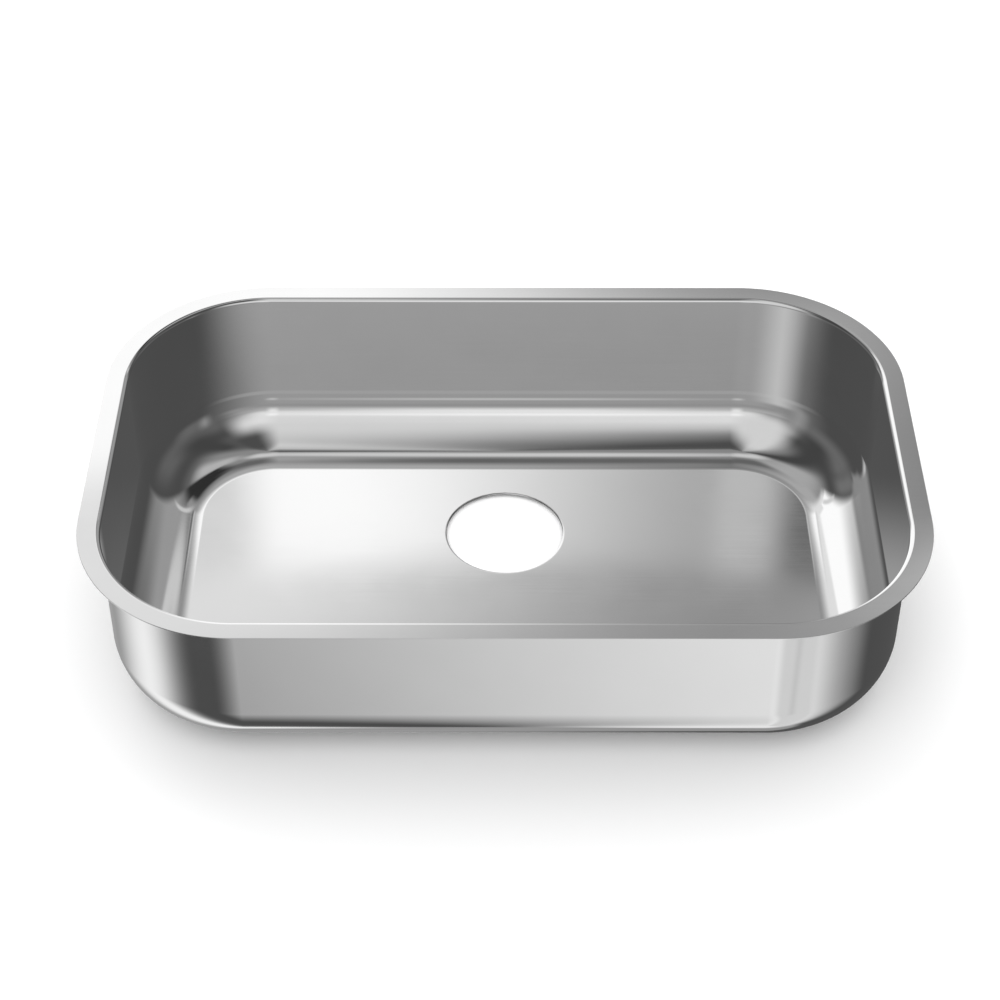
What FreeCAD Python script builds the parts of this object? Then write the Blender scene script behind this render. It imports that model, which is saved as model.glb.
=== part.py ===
"""Undermount kitchen sink: a deep-drawn stainless-steel bowl with a narrow flat flange all round, one
punched drain hole, and three sound-deadening pads stuck to the underside of its floor.

Millimetres, +Z up. X runs along the bowl and +Y points to its back, where the drain is. The origin is on
the bench under the middle of the bowl, so the pads rest on Z = 0 and the flange's top is the highest face.
"""

import FreeCAD, Part
import math
import os

Vec = FreeCAD.Vector
UP = Vec(0, 0, 1)
ORIGIN = Vec(0, 0, 0)

# Sheet and flange
sheet = 0.8  # thickness of the drawn stainless sheet
overall_length = 585.0  # over the flange, along X
overall_width = 379.0  # over the flange, along Y
corner_radius = 114.0  # of the flange's outer edge, seen from above
flange_width = 12.5  # flat part of the flange
lip_radius = 3.2  # rolled edge between the flange's top face and the wet side of the wall
edge_break = 0.15  # deburred arris of the flange's trimmed edge

# Bowl
bowl_depth = 133.5  # flange's top face to the wet side of the floor
bottom_radius = 45.0  # wet side, between wall and floor

# Drain hole, punched from above
drain_diameter = 88.9  # for a 3 1/2 inch basket strainer
drain_back_offset = 57.0  # from the bowl's middle towards the back
roll_over_width = 2.0  # the punch draws the hole's upper arris down over this width
roll_over_depth = 0.5

# Sound-deadening pads
pad_thickness = 2.5
pad_corner_radius = 14.0
pad_edge_bevel = 0.6  # pressed bevel of the pad's exposed arris
pad_floor_margin = 16.0  # from the flat floor's ends to a side pad
pad_front_margin = 20.0  # from the flat floor's front and back edges to the pads
strainer_clearance = 17.0  # ring kept free round the drain for the strainer's gasket and nut
pad_spacing = 10.0  # between two pads, side by side
front_pad_length = 118.0  # along X

# Positions that follow from the sizes above
floor_bottom = pad_thickness
floor_top = floor_bottom + sheet
flange_top = floor_top + bowl_depth
corner_x = overall_length / 2 - corner_radius  # axes of the four corners
corner_y = overall_width / 2 - corner_radius
wall_offset = corner_radius - flange_width - lip_radius  # corner axis to the wet side of the wall
floor_offset = wall_offset - bottom_radius  # corner axis to the edge of the flat floor
drain_radius = drain_diameter / 2
drain_centre = Vec(0, drain_back_offset, 0)


def arc(centre, radius, start_deg, end_deg):
    """Edge of a circle in the plane XZ, from one angle to the other."""
    points = []
    for share in (0.0, 0.5, 1.0):
        angle = math.radians(start_deg + share * (end_deg - start_deg))
        points.append(centre + Vec(radius * math.cos(angle), 0, radius * math.sin(angle)))
    return Part.Arc(*points).toShape()


def line(x1, z1, x2, z2):
    return Part.LineSegment(Vec(x1, 0, z1), Vec(x2, 0, z2)).toShape()


def sheet_section():
    """Section through flange, rolled lip, wall and bottom bend. X is the distance from a corner's axis."""
    wet, dry = wall_offset, wall_offset + sheet
    lip_centre = Vec(wet + lip_radius, 0, flange_top - lip_radius)
    bend_centre = Vec(floor_offset, 0, floor_top + bottom_radius)
    trim = corner_radius
    under = flange_top - sheet
    edges = [
        line(floor_offset, floor_bottom, floor_offset, floor_top),
        arc(bend_centre, bottom_radius, -90, 0),
        line(wet, bend_centre.z, wet, lip_centre.z),
        arc(lip_centre, lip_radius, 180, 90),
        line(lip_centre.x, flange_top, trim - edge_break, flange_top),
        line(trim - edge_break, flange_top, trim, flange_top - edge_break),
        line(trim, flange_top - edge_break, trim, under + edge_break),
        line(trim, under + edge_break, trim - edge_break, under),
        line(trim - edge_break, under, lip_centre.x, under),
        arc(lip_centre, lip_radius - sheet, 90, 180),
        line(dry, lip_centre.z, dry, bend_centre.z),
        arc(bend_centre, bottom_radius + sheet, 0, -90),
    ]
    return Part.Face(Part.Wire(edges))


def placed_section(x, y, turn_deg):
    """The sheet's section moved to a corner's axis and turned about it."""
    section = sheet_section()
    section.rotate(ORIGIN, UP, turn_deg)
    section.translate(Vec(x, y, 0))
    return section


def drawn_rim():
    """Flange, walls and bottom bend: the section run along each side and turned about each corner's axis."""
    pieces = []
    signs = [(1, 1), (-1, 1), (-1, -1), (1, -1)]
    corners = [(sign_x * corner_x, sign_y * corner_y) for sign_x, sign_y in signs]
    for number, (x, y) in enumerate(corners):
        turn = 90 * number
        pieces.append(placed_section(x, y, turn).revolve(Vec(x, y, 0), UP, 90))
        next_x, next_y = corners[(number + 1) % len(corners)]
        pieces.append(placed_section(x, y, turn + 90).extrude(Vec(next_x - x, next_y - y, 0)))
    return pieces


def rounded_plate(x_min, x_max, y_min, y_max, radius, z, thickness):
    """Flat plate with four round corners, its underside at z."""
    plate = Part.makeBox(x_max - x_min, y_max - y_min, thickness, Vec(x_min, y_min, z))
    uprights = [edge for edge in plate.Edges if abs(edge.BoundBox.ZLength - thickness) < 1e-6]
    return plate.makeFillet(radius, uprights)


def drain_punch():
    """What the punch takes out of the floor: a cylinder that flares to the roll-over at the top."""
    cylinder = Part.makeCylinder(drain_radius, sheet, drain_centre + Vec(0, 0, floor_bottom))
    flare_base = drain_centre + Vec(0, 0, floor_top - roll_over_depth)
    flare = Part.makeCone(drain_radius, drain_radius + roll_over_width, roll_over_depth, flare_base)
    return cylinder.fuse(flare)


def bowl():
    """The whole drawn sheet, one piece of steel."""
    floor_x = corner_x + floor_offset
    floor_y = corner_y + floor_offset
    floor = rounded_plate(-floor_x, floor_x, -floor_y, floor_y, floor_offset, floor_bottom, sheet)
    blank = floor.fuse(drawn_rim()).removeSplitter()
    return blank.cut(drain_punch())


def pad(x_min, x_max, y_min, y_max):
    """One die-cut pad on the floor's underside, with a bevel all round its exposed face."""
    plate = rounded_plate(x_min, x_max, y_min, y_max, pad_corner_radius, 0, pad_thickness)
    exposed = [edge for edge in plate.Edges if edge.BoundBox.ZMax < 1e-6]
    return plate.makeChamfer(pad_edge_bevel, exposed)


def pads():
    """Two pads at the ends of the floor and a short one between them, in front of the drain."""
    half_floor_x = corner_x + floor_offset
    half_floor_y = corner_y + floor_offset
    strainer_ring = drain_radius + strainer_clearance
    outer = half_floor_x - pad_floor_margin
    inner = max(front_pad_length / 2 + pad_spacing, strainer_ring)
    reach = half_floor_y - pad_front_margin
    front_pad_back = drain_back_offset - strainer_ring - pad_spacing
    return {
        "pad_left": pad(-outer, -inner, -reach, reach),
        "pad_right": pad(inner, outer, -reach, reach),
        "pad_front": pad(-front_pad_length / 2, front_pad_length / 2, -reach, front_pad_back),
    }


def main():
    os.makedirs("parts", exist_ok=True)
    nodes = {"bowl": bowl(), **pads()}
    for name, shape in nodes.items():
        shape.exportStep(f"parts/{name}.step")
        box = shape.BoundBox
        size = [round(length, 2) for length in (box.XLength, box.YLength, box.ZLength)]
        print(name, size, "solids", len(shape.Solids), "valid", shape.isValid())


main()
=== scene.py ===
"""Looks of the undermount kitchen sink: satin drawn steel, rubber pads underneath, and a pale studio."""

import math

import bpy
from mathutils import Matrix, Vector


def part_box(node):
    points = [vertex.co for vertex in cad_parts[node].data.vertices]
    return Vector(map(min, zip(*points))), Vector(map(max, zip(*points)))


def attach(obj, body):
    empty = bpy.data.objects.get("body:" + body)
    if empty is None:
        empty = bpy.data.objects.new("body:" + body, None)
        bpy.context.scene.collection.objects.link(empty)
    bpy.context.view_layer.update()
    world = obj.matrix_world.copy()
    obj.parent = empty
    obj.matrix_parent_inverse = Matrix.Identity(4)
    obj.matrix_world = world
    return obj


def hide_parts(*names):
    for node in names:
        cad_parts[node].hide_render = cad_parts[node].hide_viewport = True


MM = 0.001

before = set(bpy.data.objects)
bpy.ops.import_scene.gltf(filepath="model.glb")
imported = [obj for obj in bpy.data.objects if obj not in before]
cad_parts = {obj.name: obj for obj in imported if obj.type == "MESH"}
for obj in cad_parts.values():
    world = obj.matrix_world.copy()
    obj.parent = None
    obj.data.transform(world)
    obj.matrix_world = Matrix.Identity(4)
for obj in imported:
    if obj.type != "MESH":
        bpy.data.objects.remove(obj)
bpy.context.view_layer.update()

# ---------------------------------------------------------------- sizes, from the frame and the drawn sheet
bowl_low, bowl_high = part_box("bowl")
half_length, half_width, flange_top = bowl_high
floor_bottom = bowl_low.z

sheet = 0.8 * MM
corner_radius = 114 * MM  # of the flange's outer edge
flange_width = 12.5 * MM
lip_radius = 3.2 * MM
edge_round = 0.15 * MM
bottom_radius = 45 * MM
drain_radius = 44.45 * MM
drain_centre = Vector((0, 57 * MM, 0))
roll_over_width = 2.0 * MM
roll_over_depth = 0.5 * MM
pad_corner_radius = 14 * MM
pad_edge_round = 0.6 * MM
pad_side_start = 0.3 * MM  # from the pressed round up to the first ring of the pad's straight side
pad_top_break = 0.05 * MM  # arris between the pad's side and its glued face
pad_cap_inset = 2 * MM  # from a corner's axis out to the rim of the two faces that close the pad

floor_top = floor_bottom + sheet
corner_x = half_length - corner_radius
corner_y = half_width - corner_radius
wall_offset = corner_radius - flange_width - lip_radius  # corner axis to the wet side of the wall
floor_offset = wall_offset - bottom_radius  # corner axis to the edge of the flat floor

ROLL_OVER_POWER = 6  # how late the hole's edge is drawn down: 1 is a straight cone

# Segments of the bowl seen from above, of its section, and of the pads
CORNER_STEPS, LONG_STEPS, SHORT_STEPS = 64, 24, 12
BEND_STEPS, WALL_STEPS, LIP_STEPS, UNDER_LIP_STEPS, FLANGE_STEPS, ARRIS_STEPS = 44, 8, 14, 10, 4, 4
FLOOR_STEPS, ROLL_OVER_STEPS = 10, 10
PAD_CORNER_STEPS, PAD_SIDE_STEPS, PAD_EDGE_STEPS = 16, 6, 6


# ---------------------------------------------------------------- shapes in section and in plan
def arc_points(x, z, radius, start_deg, end_deg, steps, side):
    """Points of an arc in the section, as (offset, height, normal x, normal z).

    side is 1 where the normal points out of the arc and -1 where it points to its centre.
    """
    points = []
    for i in range(steps + 1):
        angle = math.radians(start_deg + (end_deg - start_deg) * i / steps)
        c, s = math.cos(angle), math.sin(angle)
        points.append((x + radius * c, z + radius * s, side * c, side * s))
    return points


def straight_points(x1, z1, x2, z2, steps, normal):
    """Evenly spaced points of a straight run in the section, both ends included."""
    return [
        (x1 + (x2 - x1) * i / steps, z1 + (z2 - z1) * i / steps, normal[0], normal[1])
        for i in range(steps + 1)
    ]


def round_ring(corner_axis_x, corner_axis_y, corner_steps, long_steps, short_steps):
    """Corner axis and outward direction of each point of a ring with four round corners.

    The ring runs anticlockwise as seen from above.
    """
    ring = []
    signs = [(1, 1), (-1, 1), (-1, -1), (1, -1)]
    axes = [Vector((sx * corner_axis_x, sy * corner_axis_y, 0)) for sx, sy in signs]
    for number, axis in enumerate(axes):
        for i in range(corner_steps + 1):
            angle = math.radians(90 * (number + i / corner_steps))
            ring.append((axis, Vector((math.cos(angle), math.sin(angle), 0))))
        next_axis = axes[(number + 1) % 4]
        steps = short_steps if number % 2 else long_steps
        direction = ring[-1][1]
        for i in range(1, steps):
            ring.append((axis.lerp(next_axis, i / steps), direction))
    return ring


def sweep(ring, station):
    """Points and normals of one station of a section, carried round a ring."""
    offset, height, nx, nz = station
    points = [axis + out * offset + Vector((0, 0, height)) for axis, out in ring]
    normals = [out * nx + Vector((0, 0, nz)) for _, out in ring]
    return points, normals


def make_mesh(name, points, normals, faces):
    """Smooth mesh object whose shading follows the form's own normals."""
    mesh = bpy.data.meshes.new(name)
    mesh.from_pydata(points, [], faces)
    mesh.validate()
    mesh.shade_smooth()
    mesh.normals_split_custom_set_from_vertices([n.normalized() for n in normals])
    piece = bpy.data.objects.new(name, mesh)
    bpy.context.scene.collection.objects.link(piece)
    return piece


def bridge_rings(rings, closed):
    """Quads between rings of equal count, one after the other. closed joins the last ring to the first."""
    count = len(rings[0][0])
    faces = []
    for i in range(len(rings) if closed else len(rings) - 1):
        j = (i + 1) % len(rings)
        for k in range(count):
            m = (k + 1) % count
            faces.append((i * count + k, j * count + k, j * count + m, i * count + m))
    return faces


# ---------------------------------------------------------------- the drawn bowl
def sheet_section():
    """The drawn sheet's section beyond the flat floor, from the wet side over the flange to the dry side."""
    wet, dry = wall_offset, wall_offset + sheet
    lip_x, lip_z = wet + lip_radius, flange_top - lip_radius
    bend_z = floor_top + bottom_radius
    trim, under = corner_radius, flange_top - sheet
    r = edge_round
    section = arc_points(floor_offset, bend_z, bottom_radius, -90, 0, BEND_STEPS, -1)
    section += straight_points(wet, bend_z, wet, lip_z, WALL_STEPS, (-1, 0))[1:]
    section += arc_points(lip_x, lip_z, lip_radius, 180, 90, LIP_STEPS, 1)[1:]
    section += straight_points(lip_x, flange_top, trim - r, flange_top, FLANGE_STEPS, (0, 1))[1:]
    section += arc_points(trim - r, flange_top - r, r, 90, 0, ARRIS_STEPS, 1)[1:]
    section += arc_points(trim - r, under + r, r, 0, -90, ARRIS_STEPS, 1)
    section += straight_points(trim - r, under, lip_x, under, FLANGE_STEPS, (0, -1))[1:]
    section += arc_points(lip_x, lip_z, lip_radius - sheet, 90, 180, UNDER_LIP_STEPS, -1)[1:]
    section += straight_points(dry, lip_z, dry, bend_z, WALL_STEPS, (1, 0))[1:]
    section += arc_points(floor_offset, bend_z, bottom_radius + sheet, 0, -90, BEND_STEPS, 1)[1:]
    return section


def drain_section():
    """Section of the hole's punched edge, from the underside up, as distance out from its cylinder."""
    r = edge_round
    section = arc_points(r, floor_bottom + r, r, -90, -180, ARRIS_STEPS, 1)
    for i in range(ROLL_OVER_STEPS + 1):
        share = (i / ROLL_OVER_STEPS) ** 2  # closer points at the edge, where the top is drawn down most
        slope = ROLL_OVER_POWER * roll_over_depth / roll_over_width * (1 - share) ** (ROLL_OVER_POWER - 1)
        height = floor_top - roll_over_depth * (1 - share) ** ROLL_OVER_POWER
        section.append((roll_over_width * share, height, -slope, 1))
    return section


def bowl_shell():
    """The whole sheet as one closed mesh of rings: floor, wet side, flange, dry side, underside, hole."""
    ring = round_ring(corner_x, corner_y, CORNER_STEPS, LONG_STEPS, SHORT_STEPS)
    edge = [axis + out * floor_offset for axis, out in ring]
    towards = [(p - drain_centre).normalized() for p in edge]
    floor_shares = [i / FLOOR_STEPS for i in range(1, FLOOR_STEPS)]

    def floor_ring(share, height, side, rim):
        near = [drain_centre + d * (drain_radius + rim) for d in towards]
        points = [n.lerp(p, share) + Vector((0, 0, height)) for n, p in zip(near, edge)]
        return points, [Vector((0, 0, side))] * len(ring)

    def hole_ring(station):
        x, z, nx, nz = station
        points = [drain_centre + d * (drain_radius + x) + Vector((0, 0, z)) for d in towards]
        return points, [d * nx + Vector((0, 0, nz)) for d in towards]

    rings = [floor_ring(share, floor_top, 1, roll_over_width) for share in floor_shares]
    rings += [sweep(ring, station) for station in sheet_section()]
    rings += [floor_ring(share, floor_bottom, -1, edge_round) for share in reversed(floor_shares)]
    rings += [hole_ring(station) for station in drain_section()]
    points = [p for ring_points, _ in rings for p in ring_points]
    normals = [n for _, ring_normals in rings for n in ring_normals]
    return make_mesh("bowl_shell", points, normals, bridge_rings(rings, closed=True))


# ---------------------------------------------------------------- the pads
def sound_pad(node):
    """One pad stuck to the floor's underside, its exposed arris pressed round."""
    low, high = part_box(node)
    middle = (low + high) / 2
    axis_x = (high.x - low.x) / 2 - pad_corner_radius
    axis_y = (high.y - low.y) / 2 - pad_corner_radius
    ring = round_ring(axis_x, axis_y, PAD_CORNER_STEPS, PAD_SIDE_STEPS, PAD_SIDE_STEPS)
    outer, r = pad_corner_radius, pad_edge_round
    stations = [(pad_cap_inset, high.z, 0, 1), (outer - pad_top_break, high.z, 0, 1)]
    stations += [(outer, high.z - pad_top_break, 1, 0), (outer, low.z + r + pad_side_start, 1, 0)]
    stations += arc_points(outer - r, low.z + r, r, 0, -90, PAD_EDGE_STEPS, 1)
    stations += [(pad_cap_inset, low.z, 0, -1)]
    rings = [sweep(ring, station) for station in stations]
    shift = Vector((middle.x, middle.y, 0))
    points = [p + shift for ring_points, _ in rings for p in ring_points]
    normals = [n for _, ring_normals in rings for n in ring_normals]
    faces = [tuple(reversed(face)) for face in bridge_rings(rings, closed=False)]
    count = len(ring)
    faces.append(tuple(range(count)))
    faces.append(tuple(reversed(range(len(points) - count, len(points)))))
    return make_mesh("sound_" + node, points, normals, faces)


# ---------------------------------------------------------------- nodes
def link_or_set(tree, socket, value):
    if isinstance(value, bpy.types.NodeSocket):
        tree.links.new(value, socket)
    else:
        socket.default_value = value


def calculate(tree, operation, *values):
    """A Math node's result."""
    node = tree.nodes.new("ShaderNodeMath")
    node.operation = operation
    for socket, value in zip(node.inputs, values):
        link_or_set(tree, socket, value)
    return node.outputs["Value"]


def ramp(tree, value, start, end, low=0.0, high=1.0, smooth=True):
    """Value mapped from start..end to low..high, with soft ends where smooth."""
    node = tree.nodes.new("ShaderNodeMapRange")
    node.interpolation_type = "SMOOTHSTEP" if smooth else "LINEAR"
    for socket, number in zip(node.inputs, (value, start, end, low, high)):
        link_or_set(tree, socket, number)
    return node.outputs["Result"]


def blend_values(tree, factor, a, b):
    """a where factor is 0 and b where it is 1."""
    node = tree.nodes.new("ShaderNodeMix")
    node.data_type = "FLOAT"
    for socket, value in zip(node.inputs[:4], (factor, None, a, b)):
        if value is not None:
            link_or_set(tree, socket, value)
    return node.outputs["Result"]


def noise(tree, vector, scale, detail):
    """Noise from 0 to 1 whose cells are 1 / scale long; scale is a number, or one for each axis."""
    mapping = tree.nodes.new("ShaderNodeMapping")
    mapping.vector_type = "TEXTURE"
    scales = scale if isinstance(scale, tuple) else (scale,) * 3
    mapping.inputs["Scale"].default_value = [1 / s for s in scales]
    tree.links.new(vector, mapping.inputs["Vector"])
    node = tree.nodes.new("ShaderNodeTexNoise")
    node.inputs["Scale"].default_value = 1
    node.inputs["Detail"].default_value = detail
    tree.links.new(mapping.outputs["Vector"], node.inputs["Vector"])
    return node.outputs["Fac"]


def bump(tree, height, strength, depth):
    """Normal that follows a height from 0 to 1, depth deep."""
    node = tree.nodes.new("ShaderNodeBump")
    node.inputs["Strength"].default_value = strength
    node.inputs["Distance"].default_value = depth
    tree.links.new(height, node.inputs["Height"])
    return node.outputs["Normal"]


# ---------------------------------------------------------------- materials
def new_material(name):
    material = bpy.data.materials.new(name)
    material.use_nodes = True
    tree = material.node_tree
    return material, tree, tree.nodes["Principled BSDF"]


def steel_material():
    """Satin drawn steel: fine polishing lines along the walls and the floor, faint clouds in the polish."""
    material, tree, shader = new_material("satin_steel")
    place = tree.nodes.new("ShaderNodeTexCoord").outputs["Object"]
    facing = tree.nodes.new("ShaderNodeSeparateXYZ")
    tree.links.new(tree.nodes.new("ShaderNodeNewGeometry").outputs["Normal"], facing.inputs["Vector"])
    end_wall = ramp(tree, calculate(tree, "ABSOLUTE", facing.outputs["X"]), 0.55, 0.85)
    along, across = 14, 1500  # noise cells per metre, along the polishing lines and across them
    long_lines = noise(tree, place, (along, across, across), 2)
    end_lines = noise(tree, place, (across, along, across), 2)
    lines = blend_values(tree, end_wall, long_lines, end_lines)
    clouds = noise(tree, place, 22, 3)
    wear = calculate(tree, "ADD", calculate(tree, "MULTIPLY", lines, 0.5), clouds)
    tree.links.new(ramp(tree, wear, 0.3, 1.2, 0.655, 0.68), shader.inputs["Base Color"])
    line_roughness = ramp(tree, lines, 0.2, 0.8, 0.035, 0.065)
    cloud_roughness = ramp(tree, clouds, 0.3, 0.7, 0, 0.02)
    roughness = calculate(tree, "ADD", line_roughness, cloud_roughness)
    tree.links.new(roughness, shader.inputs["Roughness"])
    shader.inputs["Metallic"].default_value = 1
    tree.links.new(bump(tree, lines, 0.05, 0.01 * MM), shader.inputs["Normal"])
    return material


def rubber_material():
    """Dark filled rubber, matt and finely pebbled, with pale filler dust."""
    material, tree, shader = new_material("pad_rubber")
    place = tree.nodes.new("ShaderNodeTexCoord").outputs["Object"]
    pebbles = noise(tree, place, 900, 3)
    dust = noise(tree, place, 60, 4)
    colour = tree.nodes.new("ShaderNodeMix")
    colour.data_type = "RGBA"
    tree.links.new(ramp(tree, dust, 0.4, 0.75, 0, 0.6), colour.inputs["Factor"])
    colour.inputs["A"].default_value = (0.055, 0.055, 0.06, 1)
    colour.inputs["B"].default_value = (0.085, 0.085, 0.088, 1)
    tree.links.new(colour.outputs["Result"], shader.inputs["Base Color"])
    tree.links.new(ramp(tree, pebbles, 0.3, 0.7, 0.7, 0.9), shader.inputs["Roughness"])
    tree.links.new(bump(tree, pebbles, 0.5, 0.15 * MM), shader.inputs["Normal"])
    return material


def floor_material():
    """Matt near-white, with no gloss."""
    material, _, shader = new_material("pale_floor")
    shader.inputs["Base Color"].default_value = (0.95, 0.95, 0.95, 1)
    shader.inputs["Roughness"].default_value = 1
    shader.inputs["Specular IOR Level"].default_value = 0
    return material


# ---------------------------------------------------------------- stage
def studio_floor():
    """A wide pale floor. The steel mirrors the studio's soft boxes and not the floor."""
    reach = 30.0
    corners = [(-reach, -reach, 0), (reach, -reach, 0), (reach, reach, 0), (-reach, reach, 0)]
    mesh = bpy.data.meshes.new("studio_floor")
    mesh.from_pydata(corners, [], [(0, 1, 2, 3)])
    floor = bpy.data.objects.new("studio_floor", mesh)
    bpy.context.scene.collection.objects.link(floor)
    floor.data.materials.append(floor_material())
    floor.visible_glossy = False


def camera():
    """The photograph's camera. Its place, pitch and lens fit the outlines of the rim and the floor."""
    data = bpy.data.cameras.new("camera")
    data.sensor_width = 36
    data.lens = 84.05
    data.clip_start, data.clip_end = 0.05, 100
    place = Vector((-1.8, -1256.2, 1214.3)) * MM
    pitch_down, yaw = math.radians(41.894), 0.0014
    cam = bpy.data.objects.new("camera", data)
    cam.location = place
    cam.rotation_euler = (math.pi / 2 - pitch_down, 0, yaw)
    bpy.context.scene.collection.objects.link(cam)
    bpy.context.scene.camera = cam


# The studio that the steel mirrors: soft boxes and dark flags, each laid over those before it. In degrees:
# azimuth and elevation of the middle (azimuth 0 is behind the sink, + to the right), half the width and
# height, the softness of the sides and of the ends, and how far the middle moves aside with each degree up.
# The level comes last, and 1 is white. All were set against tones measured in the photograph.
BASE_LEVEL = 0.1
SOFT_BOXES = [
    # in front of the sink, below eye level
    ("front_low", -170, -18, 40, 24, 70, 4, 0, 0.45),
    ("front_low_edge", -170, -33, 40, 4, 60, 4, 0, 0.5),
    ("front_low_left", -147, -30, 11, 14, 30, 8, 0, 0.76),
    ("front_low_strip", 180, -17, 4, 2, 8, 5, 0, 0.75),
    ("front_low_gap", 180, -3, 40, 3, 20, 6, 0, 0.36),
    ("side_left", -100, 12, 36, 14, 24, 20, 0, 0.2),
    ("side_right", 100, 10, 40, 14, 30, 20, 0, 0.17),
    ("strip_left", -128, 4, 6, 26, 14, 16, 0, 0.4),
    ("corner_glow_left", 108, -5, 12, 8, 20, 12, 0, 0.19),
    ("strip_right", 122, -3, 3, 8, 12, 16, 0, 0.42),
    # above
    ("sky", 0, 90, 200, 40, 10, 30, 0, 0.35),
    ("sky_left", -35, 62, 28, 14, 30, 24, 0, 0.55),
    ("sky_right", 60, 64, 16, 12, 24, 12, 0, 0.65),
    ("front_high", -176, 36, 40, 26, 24, 40, 0, 0.95),
    ("front", 180, 20, 20, 12, 24, 10, 0, 1.08),
    ("front_spot", 180, 12, 4, 8, 6, 10, 0, 1.15),
    ("front_strip", 180, 16, 5, 2, 8, 5, 0, 1.45),
    ("front_left_high", -150, 52, 24, 34, 30, 24, 0.3, 0.93),
    ("front_flag", 150, 68, 24, 24, 30, 30, 0, 0.1),
    ("side_flag_left", -88, 52, 18, 38, 30, 20, 0.5, 0.08),
    ("side_flag_right", 112, 42, 14, 30, 24, 30, 0.3, 0.08),
    # behind the sink
    ("window_side_glow", -57, 14, 7, 14, 12, 16, 0, 0.23),
    ("back_fill", 24, 16, 20, 24, 10, 20, 0, 0.45),
    ("back_flag_low", 25, -22, 15, 20, 12, 12, 0, 0.1),
    ("back_glow", -10, 50, 14, 6, 16, 8, 0, 0.56),
    ("back_flag_high", 29, 56, 17, 12, 8, 8, 0, 0.04),
    ("back_flag_top", 4, 67, 14, 6, 16, 8, 0, 0.18),
    ("back_top", -5, 81, 45, 4, 50, 6, 0, 0.85),
    ("upper_right", 10, 44, 16, 3, 6, 4, 0, 0.4),
    ("upper_left", -21, 43.6, 20, 2.5, 18, 3.6, 0, 1.08),
    ("right_wedge", 26.3, 37.4, 3, 6, 4, 5, -1.88, 0.85),
    ("window_fill", 5, 40, 7, 3.4, 6, 0.8, 0, 0.55),
    ("window", -21, 4, 22, 39.4, 14, 0.8, 0, 1.45),
    ("window_corner", -37, 37.5, 3, 5.5, 4, 3, 1.4, 0.88),
    ("window_left_flag", -48, -6, 8, 8, 8, 8, 0, 0.33),
    ("window_top_left", -17, 42.4, 7.5, 1.8, 2, 1.2, 0, 1.08),
    ("window_strip", 7.9, 41.4, 0.9, 2, 0.8, 0.8, 0, 0.72),
    ("window_shade_right", 10.6, 41.6, 1.3, 1.8, 1, 0.8, 0, 0.2),
    ("window_shade_left", -9.6, 41.6, 1.4, 1.8, 2, 0.8, 0, 0.95),
    ("window_low_left", -39, -22, 8, 20, 8, 4, -0.74, 0.35),
    ("window_foot", -30, -43, 34, 9, 10, 12, 0, 0.1),
    # what the walls' outside and the lower part of the bends mirror
    ("ground", 0, -90, 200, 48, 4, 3, 0, 0.4),
    ("ground_left", -94, -64, 30, 22, 50, 4, 0, 1.24),
    ("ground_flag_left", -171, -64, 48, 22, 50, 4, 0.6, 0.1),
    ("ground_front_right", 144.5, -64, 31.5, 22, 48, 4, 0.6, 1.15),
    ("ground_dim_right", 141, -60, 15, 18, 8, 4, 0.6, 0.9),
    ("ground_strip_right", 151, -46, 2, 4, 6, 4, 0, 0.78),
    ("ground_flag_right", 50, -57, 45, 17, 30, 4, 0, 0.1),
]


def studio_world():
    """World whose strength in each direction is the level of the soft boxes there."""
    made = bpy.data.worlds.new("studio")
    bpy.context.scene.world = made
    made.use_nodes = True
    tree = made.node_tree
    background = tree.nodes["Background"]
    background.inputs["Color"].default_value = (1, 1, 1, 1)
    direction = tree.nodes.new("ShaderNodeSeparateXYZ")
    tree.links.new(tree.nodes.new("ShaderNodeTexCoord").outputs["Generated"], direction.inputs["Vector"])
    x, y, z = direction.outputs
    azimuth = calculate(tree, "DEGREES", calculate(tree, "ARCTAN2", x, y))
    elevation = calculate(tree, "DEGREES", calculate(tree, "ARCSINE", z))
    level = BASE_LEVEL
    for _, az, el, half_wide, half_high, soft_side, soft_end, lean, box_level in SOFT_BOXES:
        rise = calculate(tree, "SUBTRACT", elevation, el)
        turn = calculate(tree, "SUBTRACT", azimuth, calculate(tree, "MULTIPLY_ADD", rise, lean, az))
        aside = calculate(tree, "ABSOLUTE", calculate(tree, "WRAP", turn, 180, -180))
        above = calculate(tree, "ABSOLUTE", rise)
        within = ramp(tree, aside, half_wide + soft_side / 2, half_wide - soft_side / 2)
        between = ramp(tree, above, half_high + soft_end / 2, half_high - soft_end / 2)
        level = blend_values(tree, calculate(tree, "MULTIPLY", within, between), level, box_level)
    link_or_set(tree, background.inputs["Strength"], level)


def overhead_lamp():
    """A broad soft light from above for the floor and the rubber. The steel doesn't mirror it."""
    data = bpy.data.lights.new("overhead", "SUN")
    data.energy = 2.9
    data.angle = math.radians(120)
    lamp = bpy.data.objects.new("overhead", data)
    lamp.visible_glossy = False
    bpy.context.scene.collection.objects.link(lamp)


def place_piece(piece, material, node):
    """Dress a piece and tie it to its node. Glossy rays miss it, so the steel mirrors the studio alone."""
    piece.data.materials.append(material)
    piece.visible_glossy = False
    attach(piece, "root")
    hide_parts(node)


bpy.context.scene.view_settings.view_transform = "Standard"
camera()
bowl = bowl_shell()
place_piece(bowl, steel_material(), "bowl")
rubber = rubber_material()
for node in ("pad_left", "pad_right", "pad_front"):
    place_piece(sound_pad(node), rubber, node)
studio_floor()
studio_world()
overhead_lamp()
